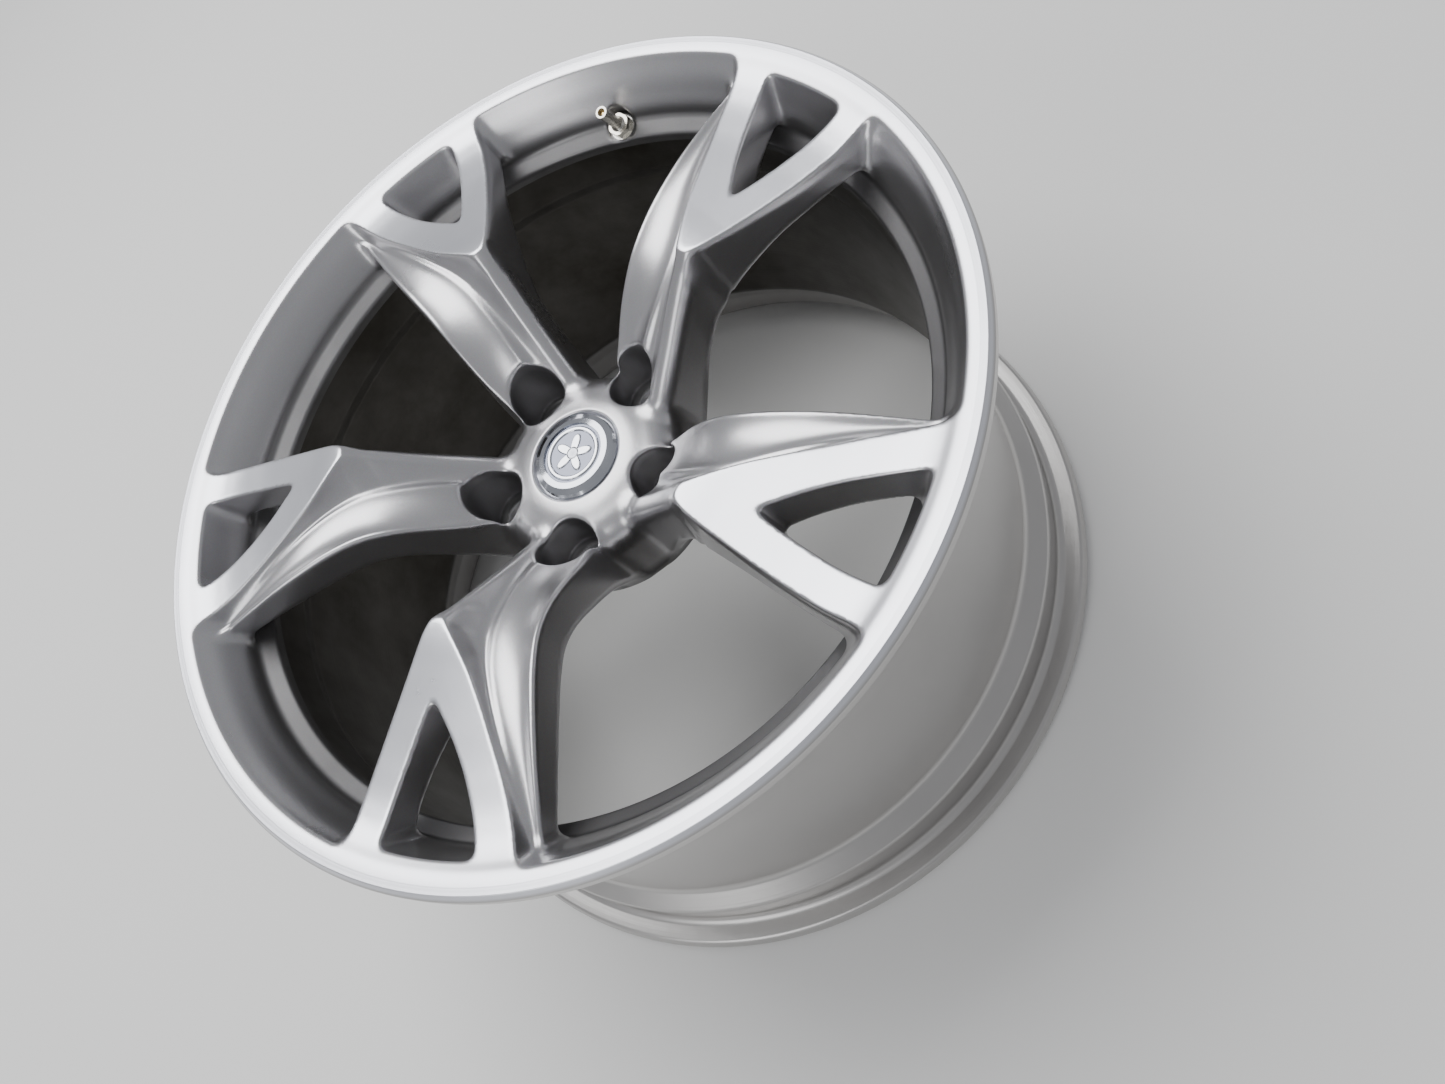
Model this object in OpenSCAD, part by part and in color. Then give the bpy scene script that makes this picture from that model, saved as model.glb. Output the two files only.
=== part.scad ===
// Forged five-spoke racing wheel rim, built around its turning axis.
// Z is the axle line and points to the street side; z = 0 is the face that bolts to the hub.
// The forging is divided where its hub, spokes and barrel meet, so each is a node of its own.

/* [Rim] */

// Radius over both flanges
flange_r = 259; // [257:0.5:261]
// Radius of the two bead seats
bead_r = 241.3; // [240.8:0.1:241.8]
// Distance between the two flange faces that hold the tyre beads
bead_width = 254; // [246:1:262]
// Thickness of one flange, from bead face to outer edge
flange_t = 12.7; // [12:0.1:14]
// Distance from mounting face to the middle of the bead width, to the street side
centre_offset = 30; // [-34:1:-26]
// Radius of the drop well on the tyre side
well_r = 224; // [223.5:0.5:225]
// Radius of the long rear part of the barrel on the tyre side
barrel_r = 227; // [226.5:0.5:228]
// Wall thickness of the barrel
wall_t = 5.2; // [4.8:0.1:5.5]

/* [Hub] */

// Radius of the centre bore that fits over the axle spigot
bore_r = 33.05; // [32:0.05:34]
// Depth of the centre bore behind the cap seat
bore_depth = 38; // [36:0.5:39]
// Radius of the mounting pad between the spokes
pad_r = 67; // [66.9:0.1:67.1]
// Height of the hub front above the mounting face
hub_h = 55.2; // [54.5:0.1:56]
// Circle diameter through the wheel bolt holes
pcd = 114.3; // [112:0.1:115]
// Radius of each wheel bolt hole
bolt_hole_r = 7.25; // [7:0.05:7.5]
// Radius of the socket pocket above each bolt hole
pocket_r = 17; // [16.5:0.1:17.2]
// Height of the pocket floor above the mounting face
seat_h = 22; // [20:0.5:24]
// Angle of each bolt hole past the middle line of its spoke
bolt_lead = 6; // [4:0.5:7]

/* [Spokes] */

// Number of spokes
spoke_count = 5; // [5:1:5]
// Angle of the first spoke's middle line
spoke_angle = 42; // [40:0.5:44]
// Radius where hub and spoke meet
root_r = 78; // [77:0.5:79]
// Depth of the valley along the spoke's straight side
valley_d = 8; // [6:0.5:9]
// Radius of the round-bottomed flute along the spoke
flute_r = 24; // [22:0.5:26]

/* [Valve] */

// Angle of the valve round the rim
valve_angle = 7; // [5:0.5:8]
// Lean of the valve towards the wheel's middle
valve_lean = 20; // [18:1:22]
// Radius of the valve hole through the rim
valve_hole_r = 5.75; // [5.7:0.05:5.8]
// Radius of the stem's threaded outer end
stem_r = 3.85; // [3.8:0.05:3.9]
// Height of the stem's open end above its seat
stem_top = 27; // [26:0.5:29]

/* [Cap] */

// Radius of the centre cap
cap_r = 27.9; // [27.5:0.1:28.2]
// Radius of the hole that holds the cap
cap_hole_r = 26; // [25.6:0.1:26.3]
// Gap round the cap's clip legs
cap_gap = 0.3; // [0.2:0.05:0.4]

/* [Hidden] */

$fn = 96;
front_z = bead_width / 2 + flange_t - centre_offset;
rear_z = -bead_width / 2 - flange_t - centre_offset;
face_z = front_z;
front_bead_z = front_z - flange_t;
rear_bead_z = rear_z + flange_t;
step = 360 / spoke_count;
inner_r = well_r - wall_t - 0.3;
lug_r = pcd / 2;
cap_seat_z = hub_h - 4;
leg_z = bore_depth + 1;

silver = [0.72, 0.73, 0.78];
barrel_grey = [0.60, 0.59, 0.58];
chrome = [0.85, 0.86, 0.88];
dark = [0.16, 0.16, 0.17];

// Cross-section of the barrel from lip to inboard flange, radius across and height up.
module barrel_section() {
    difference() {
        polygon([
            [246, face_z - 1.2], [251, face_z - 0.3], [255.4, face_z], [flange_r, face_z - 3.4],
            [flange_r, front_bead_z + 4], [flange_r - 4, front_bead_z],
            [bead_r + 6.5, front_bead_z], [bead_r, front_bead_z - 6.5],
            [bead_r - 1.5, front_bead_z - 22], [bead_r - 0.6, front_bead_z - 25],
            [bead_r - 1.8, front_bead_z - 28], [237, 64.6], [226.5, 58.4],
            [well_r, 53], [well_r, 42], [barrel_r, 35], [barrel_r, -112],
            [bead_r - 1.2, rear_bead_z + 29.5], [bead_r - 0.4, rear_bead_z + 26],
            [bead_r - 1.5, rear_bead_z + 22], [bead_r, rear_bead_z + 6.5],
            [bead_r + 6.5, rear_bead_z], [flange_r - 5, rear_bead_z],
            [flange_r - 1.6, rear_bead_z - 1.6], [flange_r, rear_bead_z - 4.8],
            [flange_r, rear_z + 4.8], [flange_r - 1.6, rear_z + 1.6],
            [flange_r - 5, rear_z], [flange_r - 12, rear_z],
            [239, rear_z + 12], [236.5, rear_z + 32], [barrel_r - wall_t, -107],
            [barrel_r - wall_t, 31], [inner_r, 40], [inner_r, face_z - 40],
            [228.5, face_z - 33.5], [230.2, face_z - 28], [234.2, face_z - 20],
            [239.8, face_z - 10], [244.2, face_z - 4]]);
        translate([bead_r + 6.5, front_bead_z - 6.5]) circle(r = 6.5);
        translate([bead_r + 6.5, rear_bead_z + 6.5]) circle(r = 6.5);
    }
}

// Places children in the valve's own frame: z = 0 is the seat of its washer, z points outwards.
module at_valve() {
    rotate([0, 0, valve_angle])
        translate([227, 0, face_z - 38])
            rotate([0, -valve_lean, 0]) children();
}

module rim_solid() {
    rotate_extrude() barrel_section();
}

module rim_barrel() {
    color(barrel_grey) difference() {
        rim_solid();
        at_valve() {
            cylinder(h = 30, r = 10);
            translate([0, 0, -14]) cylinder(h = 15, r = valve_hole_r);
            translate([0, 0, -22]) cylinder(h = 12, r = 7.8);
        }
    }
}

// Stations out along a spoke, and the heights of its crest and underside at each.
stations = [44, 56, 68, 80, 100, 120, 140, 165, 236];
crest_tops = [46, 54, 64.5, 74, 87.5, 96.5, 102.5, 105, 95];
undersides = [2, 3, 9, 28.5, 52.5, 70, 78.5, 81, 79];

// A height band of the spoke, drawn as a half-section and turned round the axle line.
module turned_band(rise, sink) {
    last = len(stations) - 1;
    rotate_extrude() polygon(concat(
        [for (i = [0 : last]) [stations[i], sink[i]]],
        [for (i = [last : -1 : 0]) [stations[i], rise[i]]]));
}

// Outline of a whole spoke seen from the street side, middle line along x.
module spoke_outline() {
    polygon([
        [44, 24], [56, 25], [80, 29.5], [100, 31.5], [120, 34.5], [140, 39], [160, 44], [180, 49],
        [200, 53.5], [216, 58.5], [226, 63], [237, 71], [250, 71],
        [250, -64], [238, -60], [231, -53], [222, -49.6], [205, -46.6],
        [180, -41.2], [160, -36], [143, -31], [128, -25.5], [118, -22], [56, -20.5], [44, -20]]);
}

// Outline of the flat machined face: a long triangle with a rounded inner tip.
module face_outline() {
    difference() {
        union() {
            polygon([
                [129, -23], [143, -31], [160, -36], [180, -41.2], [205, -46.6], [222, -49.6],
                [231, -53], [238, -60], [250, -64], [250, 61], [236, 52], [222, 45],
                [205, 36.5], [190, 29.2], [175, 20.5], [160, 11.3], [145, 1.2], [133, -8]]);
            translate([135.5, -17]) circle(r = 8.4);
        }
        window_outline();
    }
}

// Outline of the small three-cornered window inside the face.
module window_outline() {
    union() {
        polygon([
            [168, -16.6], [179, -19.8], [198, -24.4], [218, -28.2], [233, -29],
            [239, -24], [238.6, 26], [232, 27.6], [219, 22.6], [200, 13],
            [180, 0.6], [167, -8.4]]);
        translate([170, -12.4]) circle(r = 4.9);
        translate([233.7, -23.7]) circle(r = 5.3);
        translate([233, 22.6]) circle(r = 5.3);
    }
}

// The valley between the bevelled straight edge and the first ridge.
module valley_outline() {
    polygon([
        [50, -15.2], [100, -16.6], [124, -18.5], [128, -13], [135, -7], [148, 2],
        [163, 12], [180, 22], [180, 27.5], [160, 17.8], [146, 11], [130, 4.5],
        [115, 1.2], [100, -0.2], [50, -1.5]]);
}

// The flute is one great leaning ring whose underside ploughs along the spoke's crest.
module flute() {
    translate([149.8, 90.2, flute_r - 42.5]) rotate([0, 67.34, 110.45])
        rotate_extrude() translate([155.7, 0]) circle(r = flute_r);
}

// One spoke along x, from the axle line out into the rim, before it is trimmed to its neighbours.
module spoke_stock() {
    difference() {
        union() {
            difference() {
                intersection() {
                    linear_extrude(height = face_z) difference() {
                        spoke_outline();
                        window_outline();
                    }
                    turned_band(crest_tops, undersides);
                }
                flute();
                intersection() {
                    linear_extrude(height = face_z) valley_outline();
                    turned_band([for (z = crest_tops) z + 9], [for (z = crest_tops) z - valley_d]);
                }
            }
            face_plate();
        }
    }
}

// The machined face with the rib of metal under it.
module face_plate() {
    intersection() {
        linear_extrude(height = face_z + 20) face_outline();
        rotate_extrude() polygon([
            [118, 80], [234, 80], [238, 92], [243, 100], [248, 104],
            [248, face_z - 1], [246, face_z - 1.2], [240.5, face_z - 3],
            [232, face_z - 4.8], [222, face_z - 5.4], [200, face_z - 4.4],
            [175, face_z - 1.6], [150, face_z + 2.1], [118, face_z + 7.4]]);
    }
}

module lug_cut() {
    rotate([0, 0, bolt_lead]) translate([lug_r, 0, 0]) {
        translate([0, 0, -1]) cylinder(h = seat_h + 1, r = bolt_hole_r);
        translate([0, 0, seat_h - 8]) cylinder(h = 9, r1 = bolt_hole_r, r2 = 13);
        translate([0, 0, seat_h]) cylinder(h = 60, r = pocket_r);
    }
}

module all_spokes() {
    for (i = [0 : spoke_count - 1])
        rotate([0, 0, spoke_angle + i * step]) children();
}

module hub_centre() {
    color(silver) difference() {
        union() {
            rotate_extrude() polygon([
                [20, 0], [pad_r, 0], [pad_r, 4], [57.5, 44], [52, hub_h - 7], [37.5, hub_h - 2],
                [31, hub_h], [20, hub_h]]);
            intersection() {
                all_spokes() spoke_stock();
                cylinder(h = 120, r = root_r);
            }
        }
        translate([0, 0, -1]) cylinder(h = bore_depth + 1, r = bore_r);
        translate([0, 0, bore_depth - 0.5]) cylinder(h = 30, r = cap_hole_r);
        translate([0, 0, leg_z + 1]) cylinder(h = 3.5, r = cap_hole_r + 1);
        translate([0, 0, cap_seat_z]) cylinder(h = 30, r = 29);
        translate([0, 0, -1]) cylinder(h = 3.5, r1 = bore_r + 3.5, r2 = bore_r);
        all_spokes() lug_cut();
    }
}

// A finished spoke: from the hub's parting cylinder to the inside of the rim.
module spoke(i) {
    color(silver) rotate([0, 0, spoke_angle - i * step]) difference() {
        spoke_stock();
        translate([0, 0, -1]) cylinder(h = 150, r = root_r);
        rim_solid();
        difference() {
            translate([0, 0, 30]) cylinder(h = 100, r = 300);
            translate([0, 0, 29]) cylinder(h = 102, r = 247);
        }
    }
}

module spoke_1() { spoke(0); }
module spoke_2() { spoke(1); }
module spoke_3() { spoke(2); }
module spoke_4() { spoke(3); }
module spoke_5() { spoke(4); }

// Snap-in cap: domed face, stop rim and a ring of clip legs parted by slots.
module centre_cap() {
    leg_r = cap_hole_r - cap_gap;
    color(chrome) difference() {
        union() {
            translate([0, 0, cap_seat_z]) rotate_extrude() polygon([
                [0, 0], [cap_r, 0], [cap_r, 3], [26.5, 4.6], [23, 6.2], [19.6, 6.8], [19.6, 5.4], [0, 5.4]]);
            translate([0, 0, leg_z]) cylinder(h = cap_seat_z - leg_z + 0.5, r = leg_r);
        }
        translate([0, 0, leg_z - 1]) cylinder(h = cap_seat_z - leg_z, r = leg_r - 2);
        translate([0, 0, leg_z + 2.5]) rotate_extrude() translate([leg_r - 2, 0]) circle(r = 0.75);
        for (i = [0 : 5]) rotate([0, 0, i * 60])
            translate([leg_r - 4, -4, leg_z - 1]) cube([8, 8, cap_seat_z - leg_z - 1]);
    }
}

// Thin disc let into the cap face, with a ring of small round dimples.
module cap_badge() {
    color(dark) translate([0, 0, cap_seat_z + 5.4]) difference() {
        cylinder(h = 1.1, r = 19.4);
        for (i = [0 : 4]) rotate([0, 0, 18 + i * 72]) translate([11, 0, 0.7]) cylinder(h = 1, r = 2.6);
        translate([0, 0, 0.7]) cylinder(h = 1, r = 4.2);
    }
}

// Open wire ring that spreads the clip legs from inside.
module cap_spring_ring() {
    color(chrome) translate([0, 0, leg_z + 2.5])
        rotate([0, 0, 6]) rotate_extrude(angle = 348)
            translate([cap_hole_r - cap_gap - 2, 0]) circle(r = 0.7, $fn = 32);
}

module valve_stem() {
    color(chrome) at_valve() difference() {
        union() {
            translate([0, 0, -16]) cylinder(h = 3, r = 6.8);
            translate([0, 0, -13]) cylinder(h = 20, r = 5);
            translate([0, 0, 7]) cylinder(h = 1.5, r1 = 5, r2 = stem_r);
            translate([0, 0, 8]) cylinder(h = stem_top - 8, r = stem_r);
        }
        translate([0, 0, 7]) cylinder(h = 30, r = 2.6);
        translate([0, 0, -14.2]) cylinder(h = 30, r = 1.2);
        translate([0, 0, -17]) cylinder(h = 8, r = 2);
    }
}

module valve_grommet() {
    color(dark) at_valve() difference() {
        union() {
            translate([0, 0, -13]) cylinder(h = 3, r = 7.3);
            translate([0, 0, -10]) cylinder(h = 10, r = 5.7);
        }
        translate([0, 0, -16]) cylinder(h = 20, r = 5);
    }
}

module valve_washer() {
    color(chrome) at_valve() difference() {
        cylinder(h = 1.2, r = 8.2);
        translate([0, 0, -1]) cylinder(h = 4, r = 5.1);
    }
}

module valve_nut() {
    color(chrome) at_valve() translate([0, 0, 1.2]) difference() {
        intersection() {
            linear_extrude(height = 5.6) circle(r = 7.8, $fn = 6);
            cylinder(h = 5.6, r1 = 8.6, r2 = 7.2);
        }
        translate([0, 0, -1]) cylinder(h = 8, r = 5.04);
    }
}

// Screwed plug of the air core, with the guide for its pin.
module core_body() {
    color(chrome) at_valve() difference() {
        union() {
            translate([0, 0, 17]) cylinder(h = 5, r = 2.55);
            translate([0, 0, 11]) cylinder(h = 6.5, r = 1.9);
        }
        translate([0, 0, 10]) cylinder(h = 14, r = 0.6);
        translate([0, 0, 12.1]) cylinder(h = 14, r = 1.2);
    }
}

module core_seal() {
    color(dark) at_valve() translate([0, 0, 14.5]) difference() {
        cylinder(h = 2, r = 2.6);
        translate([0, 0, -1]) cylinder(h = 4, r = 1.9);
    }
}

module core_pin() {
    color(chrome) at_valve() union() {
        translate([0, 0, 9.3]) cylinder(h = 15.4, r = 0.5);
        translate([0, 0, 9.3]) cylinder(h = 0.7, r = 1.8);
        translate([0, 0, 20]) cylinder(h = 0.8, r = 1);
        translate([0, 0, 24.2]) cylinder(h = 0.6, r = 0.85);
    }
}

module core_cup() {
    color(dark) at_valve() translate([0, 0, 10]) difference() {
        cylinder(h = 1, r = 1.8);
        translate([0, 0, -1]) cylinder(h = 3, r = 0.5);
    }
}

// Coil of half turns that climb one after the other, under the pin's collar.
module core_spring() {
    coil_r = 0.85;
    turns = 5;
    lift = 0.62;
    tilt = asin(lift / (2 * coil_r));
    color(chrome) at_valve() translate([0, 0, 12.3])
        for (i = [0 : 2 * turns - 1]) translate([0, 0, i * lift])
            rotate([0, 0, i * 180]) translate([coil_r, 0, 0]) rotate([0, -tilt, 180])
                translate([coil_r, 0, 0]) rotate([0, 0, 180]) rotate_extrude(angle = 180)
                    translate([coil_r, 0]) circle(r = 0.15, $fn = 24);
}

// Places children in the tyre-pressure sensor's frame: x points outwards, z along the axle.
module at_sensor() {
    rotate([0, 0, valve_angle]) translate([230, 0, 24]) children();
}

module tpms_housing() {
    color(dark) difference() {
        union() {
            at_sensor() translate([0, -23, 0]) cube([13, 46, 25]);
            intersection() {
                at_valve() translate([0, 0, -30]) cylinder(h = 14, r = 5.6);
                at_sensor() translate([-4, -12, 0]) cube([24, 24, 60]);
            }
        }
        at_sensor() translate([1.5, -21.5, 1.5]) cube([14, 43, 22]);
        at_valve() translate([0, 0, -60]) cylinder(h = 50, r = 1.98);
        at_valve() translate([0, 0, -60]) cylinder(h = 38, r = 3.8);
    }
}

module tpms_cover() {
    color(dark) at_sensor() difference() {
        translate([11.4, -21.5, 1.5]) cube([1.6, 43, 22]);
        translate([10, 0, 28]) rotate([0, 90, 0]) cylinder(h = 5, r = 10);
    }
}

module tpms_board() {
    color([0.1, 0.35, 0.2]) at_sensor() translate([2.4, -20.5, 2.5]) cube([1, 41, 12.5]);
}

module tpms_battery() {
    color(chrome) at_sensor() translate([3.4, -9, 8.9]) rotate([0, 90, 0]) cylinder(h = 3.2, r = 6.2);
}

module tpms_screw() {
    color(chrome) at_valve() union() {
        translate([0, 0, -25]) cylinder(h = 3, r = 3.5);
        translate([0, 0, -22.2]) cylinder(h = 12, r = 1.95);
    }
}

rim_barrel();
hub_centre();
spoke_1();
spoke_2();
spoke_3();
spoke_4();
spoke_5();
centre_cap();
cap_badge();
cap_spring_ring();
valve_stem();
valve_grommet();
valve_washer();
valve_nut();
core_body();
core_seal();
core_pin();
core_cup();
core_spring();
tpms_housing();
tpms_cover();
tpms_board();
tpms_battery();
tpms_screw();
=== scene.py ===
import math

import bpy
import numpy as np
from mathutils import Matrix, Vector


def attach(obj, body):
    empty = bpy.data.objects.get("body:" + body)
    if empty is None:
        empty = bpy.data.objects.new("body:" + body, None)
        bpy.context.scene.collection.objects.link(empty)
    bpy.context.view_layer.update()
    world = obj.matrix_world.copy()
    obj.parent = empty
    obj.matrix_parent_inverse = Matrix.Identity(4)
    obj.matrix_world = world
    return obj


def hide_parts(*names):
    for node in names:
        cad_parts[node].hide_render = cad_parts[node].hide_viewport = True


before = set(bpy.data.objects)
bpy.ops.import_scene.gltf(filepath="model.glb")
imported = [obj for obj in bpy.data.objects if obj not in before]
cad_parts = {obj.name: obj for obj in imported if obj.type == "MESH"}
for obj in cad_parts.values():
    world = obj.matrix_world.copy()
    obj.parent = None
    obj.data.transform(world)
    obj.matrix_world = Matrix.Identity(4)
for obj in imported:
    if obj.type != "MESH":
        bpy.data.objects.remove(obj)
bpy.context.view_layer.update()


# ---------------------------------------------------------------------------
# Forged disc: hub, five twisted spokes and the flat face that joins the rim.
# One aluminium forging, machined on its face and edges, then painted smoked
# silver under clear coat. Heights are millimetres below or above the lip.
# ---------------------------------------------------------------------------
MM = 0.001
LIP_HEIGHT = 109.7
SPOKES = 5
PITCH = math.radians(72)
FIRST_SPOKE = math.radians(42)
BOLT_LEAD = math.radians(6)
BOLT_CIRCLE_R = 57.15

# Lines along one spoke, as (distance out from the axle, sideways, height).
FIRST_RIDGE = [
    (30, -1, -84), (44, -1, -67), (50, -1, -60.5), (60, -0.5, -50.5), (70, -0.3, -42.2),
    (80, -0.2, -34.8), (100, 0.6, -23), (120, 3.2, -13.8), (140, 9.2, -8), (160, 18.8, -5.6),
    (180, 29.2, -6.4), (200, 39.5, -8.8), (220, 49.4, -12), (240, 58, -16), (262, 66, -20)
]
SECOND_RIDGE = [
    (30, 12, -88), (44, 16.5, -69), (50, 19.5, -61.5), (60, 23.8, -53.5), (70, 26.6, -45.8),
    (80, 28.4, -36.5), (90, 29.5, -28), (100, 30.5, -20.5), (110, 31.7, -14.5), (120, 33, -10.3),
    (140, 37.2, -6.4), (160, 42, -6), (180, 46.6, -7.2), (200, 51, -9.8), (220, 55.5, -13.2),
    (240, 61.5, -17), (262, 68, -21)
]
VALLEY = [
    (30, 4, 5), (60, 4, 5), (90, 4.6, 6.5), (110, 5.4, 6.4), (125, 5.6, 5), (140, 5, 4), (160, 3.6, 3),
    (180, 2.4, 2.2), (200, 1.6, 1.5), (220, 1.2, 1.2), (262, 1, 1)
]
STRAIGHT_EDGE = [
    (30, -19.8, -82), (44, -19.8, -66.6), (50, -19.8, -61), (60, -19.8, -51.6), (80, -19.8, -33.4),
    (100, -19.9, -14.6), (112, -20.6, -3.4), (121, -23.6, 4.6), (129, -26.4, 5.6), (137, -29.1, 4.4),
    (156, -34.6, 1), (176, -39.9, -1.9), (195, -44.3, -4), (215, -48, -5.2), (225, -49.2, -5.3),
    (240, -50.6, -3), (262, -52.6, 0)
]
FACE_EDGE = [
    (20, -100), (60, -66), (100, -31.8), (122, -14.4), (129.7, -8.2), (140, 0), (149.8, 7.1),
    (159.5, 13.1), (169, 18.8), (178.4, 24.1), (187.7, 29.4), (197, 34.7), (206.2, 39.7),
    (215.5, 44.2), (226, 49.3), (237, 54.3), (262, 65.5)
]
WINDOW_STRAIGHT = [
    (140, -9.2), (169.2, -16.9), (178.9, -19.8), (188.7, -22.3), (198.5, -24.6), (208.3, -26.7),
    (218.2, -28.3), (228.1, -29.3), (262, -32)
]
WINDOW_SLANT = [
    (140, -30), (160, -15.4), (170, -7.8), (180, 0.2), (189.9, 7), (199.6, 12.9), (209.2, 17.9),
    (218.8, 22.6), (228.5, 26.6), (240, 31), (262, 39)
]
FACE_HEIGHT = [
    (100, 11), (118, 7.6), (130, 5.8), (150, 2.2), (175, -1.6), (200, -4.4), (222, -5.4), (232, -4.8),
    (240.5, -3), (246, -1.2), (251, -0.35), (256, 0), (262, 0)
]
UNDERSIDE = [
    (20, -116), (50, -114), (58, -109), (66, -102.5), (72, -94), (82, -78), (99, -58), (116, -41.8),
    (130, -33.8), (145, -30.3), (161, -28.8), (200, -28.5), (228, -30), (262, -34)
]
STRAIGHT_UNDERSIDE = [
    (20, -116), (50, -115), (60, -109.5), (70, -100), (84, -81), (98, -62), (116, -44), (135, -30.5),
    (160, -23.5), (190, -22), (215, -23.5), (240, -28), (262, -34)
]
DROP_WALL = [
    (-60, 227.2), (-40, 227.7), (-33.5, 228.4), (-28, 230), (-20, 234.2), (-10, 239.8), (-4, 244),
    (0, 246.4), (12, 252)
]
HUB_TOP = [
    (0, -54.6), (31, -54.8), (36, -55.8), (44, -58.4), (50, -60.4), (56, -62.4), (62, -65), (70, -70),
    (262, -200)
]
HUB_FLOOR_R = 66.4
HUB_WALL_SLOPE = 0.13
CHAMFER = 4.5
BAR_END_X = 36
WALL_DRAFT = 0.16
WINDOW_DRAFT = 0.1
WINDOW_END_R = 240.5
LEDGE_R = 218.5
LEDGE_FOOT = -40.5
LEDGE_SLOPE = 0.65
POCKET_R = 17
SEAT_TOP, SEAT_TOP_R = -87.7, 12.4
SEAT_FOOT, BOLT_HOLE_R = -95.7, 7.25
CAP_RECESS_R, CAP_RECESS_FLOOR = 29, -58.5
BORE_R, BORE_TOP = 33.05, -71.7
SKIN_INNER_R = 26
HUB_REACH_R = 120


def through(stations, x, column=1):
    """Smooth line through the stations: a cubic on each span, with the mean slopes at its ends."""
    s = np.array(stations, float)
    here, value = s[:, 0], s[:, column]
    slope = np.gradient(value, here)
    i = np.clip(np.searchsorted(here, x) - 1, 0, len(s) - 2)
    span = here[i + 1] - here[i]
    t = np.clip((x - here[i]) / span, 0, 1)
    return ((1 + 2 * t) * (1 - t) ** 2 * value[i] + t * t * (3 - 2 * t) * value[i + 1]
            + span * (t * (1 - t) ** 2 * slope[i] + t * t * (t - 1) * slope[i + 1]))


def flowing(stations, x, column=1):
    """The line through the stations, evened out by a weighted mean over 12 mm of its length."""
    taps = ((-6, 0.12), (-3, 0.22), (0, 0.32), (3, 0.22), (6, 0.12))
    return sum(weight * through(stations, x + away, column) for away, weight in taps)


def rounded_max(a, b, k):
    """The larger of a and b, rounded over a band k wide: adds a quarter of k where they are equal."""
    h = np.maximum(k - np.abs(a - b), 0) / k
    return np.maximum(a, b) + h * h * k / 4


def rounded_min(a, b, k):
    """The smaller of a and b with a fillet k wide."""
    return -rounded_max(-a, -b, k)


def lean(stations, x):
    """Cosine of the line's slope at x, which turns a sideways gap into a true distance."""
    slope = through(stations, x + 0.5) - through(stations, x - 0.5)
    return 1 / np.sqrt(1 + slope * slope)


def crest(x, y):
    """Top of the spoke: bevel, lopsided valley, ridge, parabolic flute, ridge, then a fall."""
    edge_y = through(STRAIGHT_EDGE, np.minimum(x, 112)) + 0 * x
    bevel_in = edge_y + 5.6
    y1, z1 = flowing(FIRST_RIDGE, x), flowing(FIRST_RIDGE, x, 2)
    y2, z2 = flowing(SECOND_RIDGE, x), flowing(SECOND_RIDGE, x, 2)
    top = np.minimum(through(STRAIGHT_EDGE, x, 2) + 0.9, through(FACE_HEIGHT, x) - 0.4)
    start = rounded_max(bevel_in, through(FACE_EDGE, np.maximum(x, 112)) - 0.6, 5)
    down = np.clip((y - start) / np.maximum(y1 - start, 1), 0, 1)
    across = (y - y1) / (y2 - y1)
    depth = flowing(VALLEY, x)
    return np.select(
        [y < start, y < y1, y < y2],
        [top + np.minimum(y - bevel_in, 0) * 0.16,
         top + (z1 - top) * down - depth * 4 * down * (1 - down) * (0.6 + 0.8 * down) / 1.02,
         z1 + (z2 - z1) * across - 4 * 3.4 * across * (1 - across)],
        z2 - (y - y2) * 0.9)


def spoke_body(r, t, z):
    """The spoke's bar: under its crest, over its twisted underside, between two drafted side walls.
    The straight wall starts as a chamfer, and the inner end is cut square, deep in the hub. Each part
    is a signed distance."""
    x, y = r * np.cos(t), r * np.sin(t)
    soft = sum(w * crest(x, y + d) for d, w in ((-2, 0.1), (-1, 0.22), (0, 0.36), (1, 0.22), (2, 0.1)))
    rise_r = np.gradient(soft, r[:, 0, 0], axis=0)
    rise_t = np.gradient(soft, t[0, :, 0], axis=1) / r
    top = (z - soft) / np.sqrt(1 + np.minimum(rise_r ** 2 + rise_t ** 2, 4))
    y2, z2 = flowing(SECOND_RIDGE, x), flowing(SECOND_RIDGE, x, 2)
    y3, z3 = through(STRAIGHT_EDGE, x), through(STRAIGHT_EDGE, x, 2)
    far_wall = (y - y2 - 0.6 - np.maximum(z2 - z, -3) * 0.15) * lean(SECOND_RIDGE, x)
    plain_end = np.clip((x - 110) / 18, 0, 1)
    drop = np.maximum(z3 - z, -3)
    near_draft = 0.06 + 0.1 * plain_end
    near_wall = (y3 - CHAMFER * (1 - plain_end) - y - drop * near_draft) * lean(STRAIGHT_EDGE, x)
    chamfer = ((y3 - y) * (0.75 + 0.25 * plain_end) + (z - z3) * 0.66 * (1 - plain_end)) - 0.3
    near_wall = np.where(plain_end < 1, rounded_max(near_wall, chamfer, 5), near_wall)
    share = np.clip((y2 - y) / (y2 - y3), 0, 1)
    under = through(UNDERSIDE, r) * (1 - share) + through(STRAIGHT_UNDERSIDE, r) * share
    fall = np.gradient(under, r[:, 0, 0], axis=0)
    bottom = (under - z) / np.sqrt(1 + fall ** 2)
    bar = rounded_max(rounded_max(top, np.maximum(far_wall, near_wall), 2.2), bottom, 3.5)
    return np.maximum(bar, BAR_END_X - x)


def two_least(a, b, c):
    """The two smallest of three arrays, point by point."""
    low, high = np.minimum(a, b), np.maximum(a, b)
    return np.minimum(low, c), np.minimum(np.maximum(low, c), high)


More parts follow.
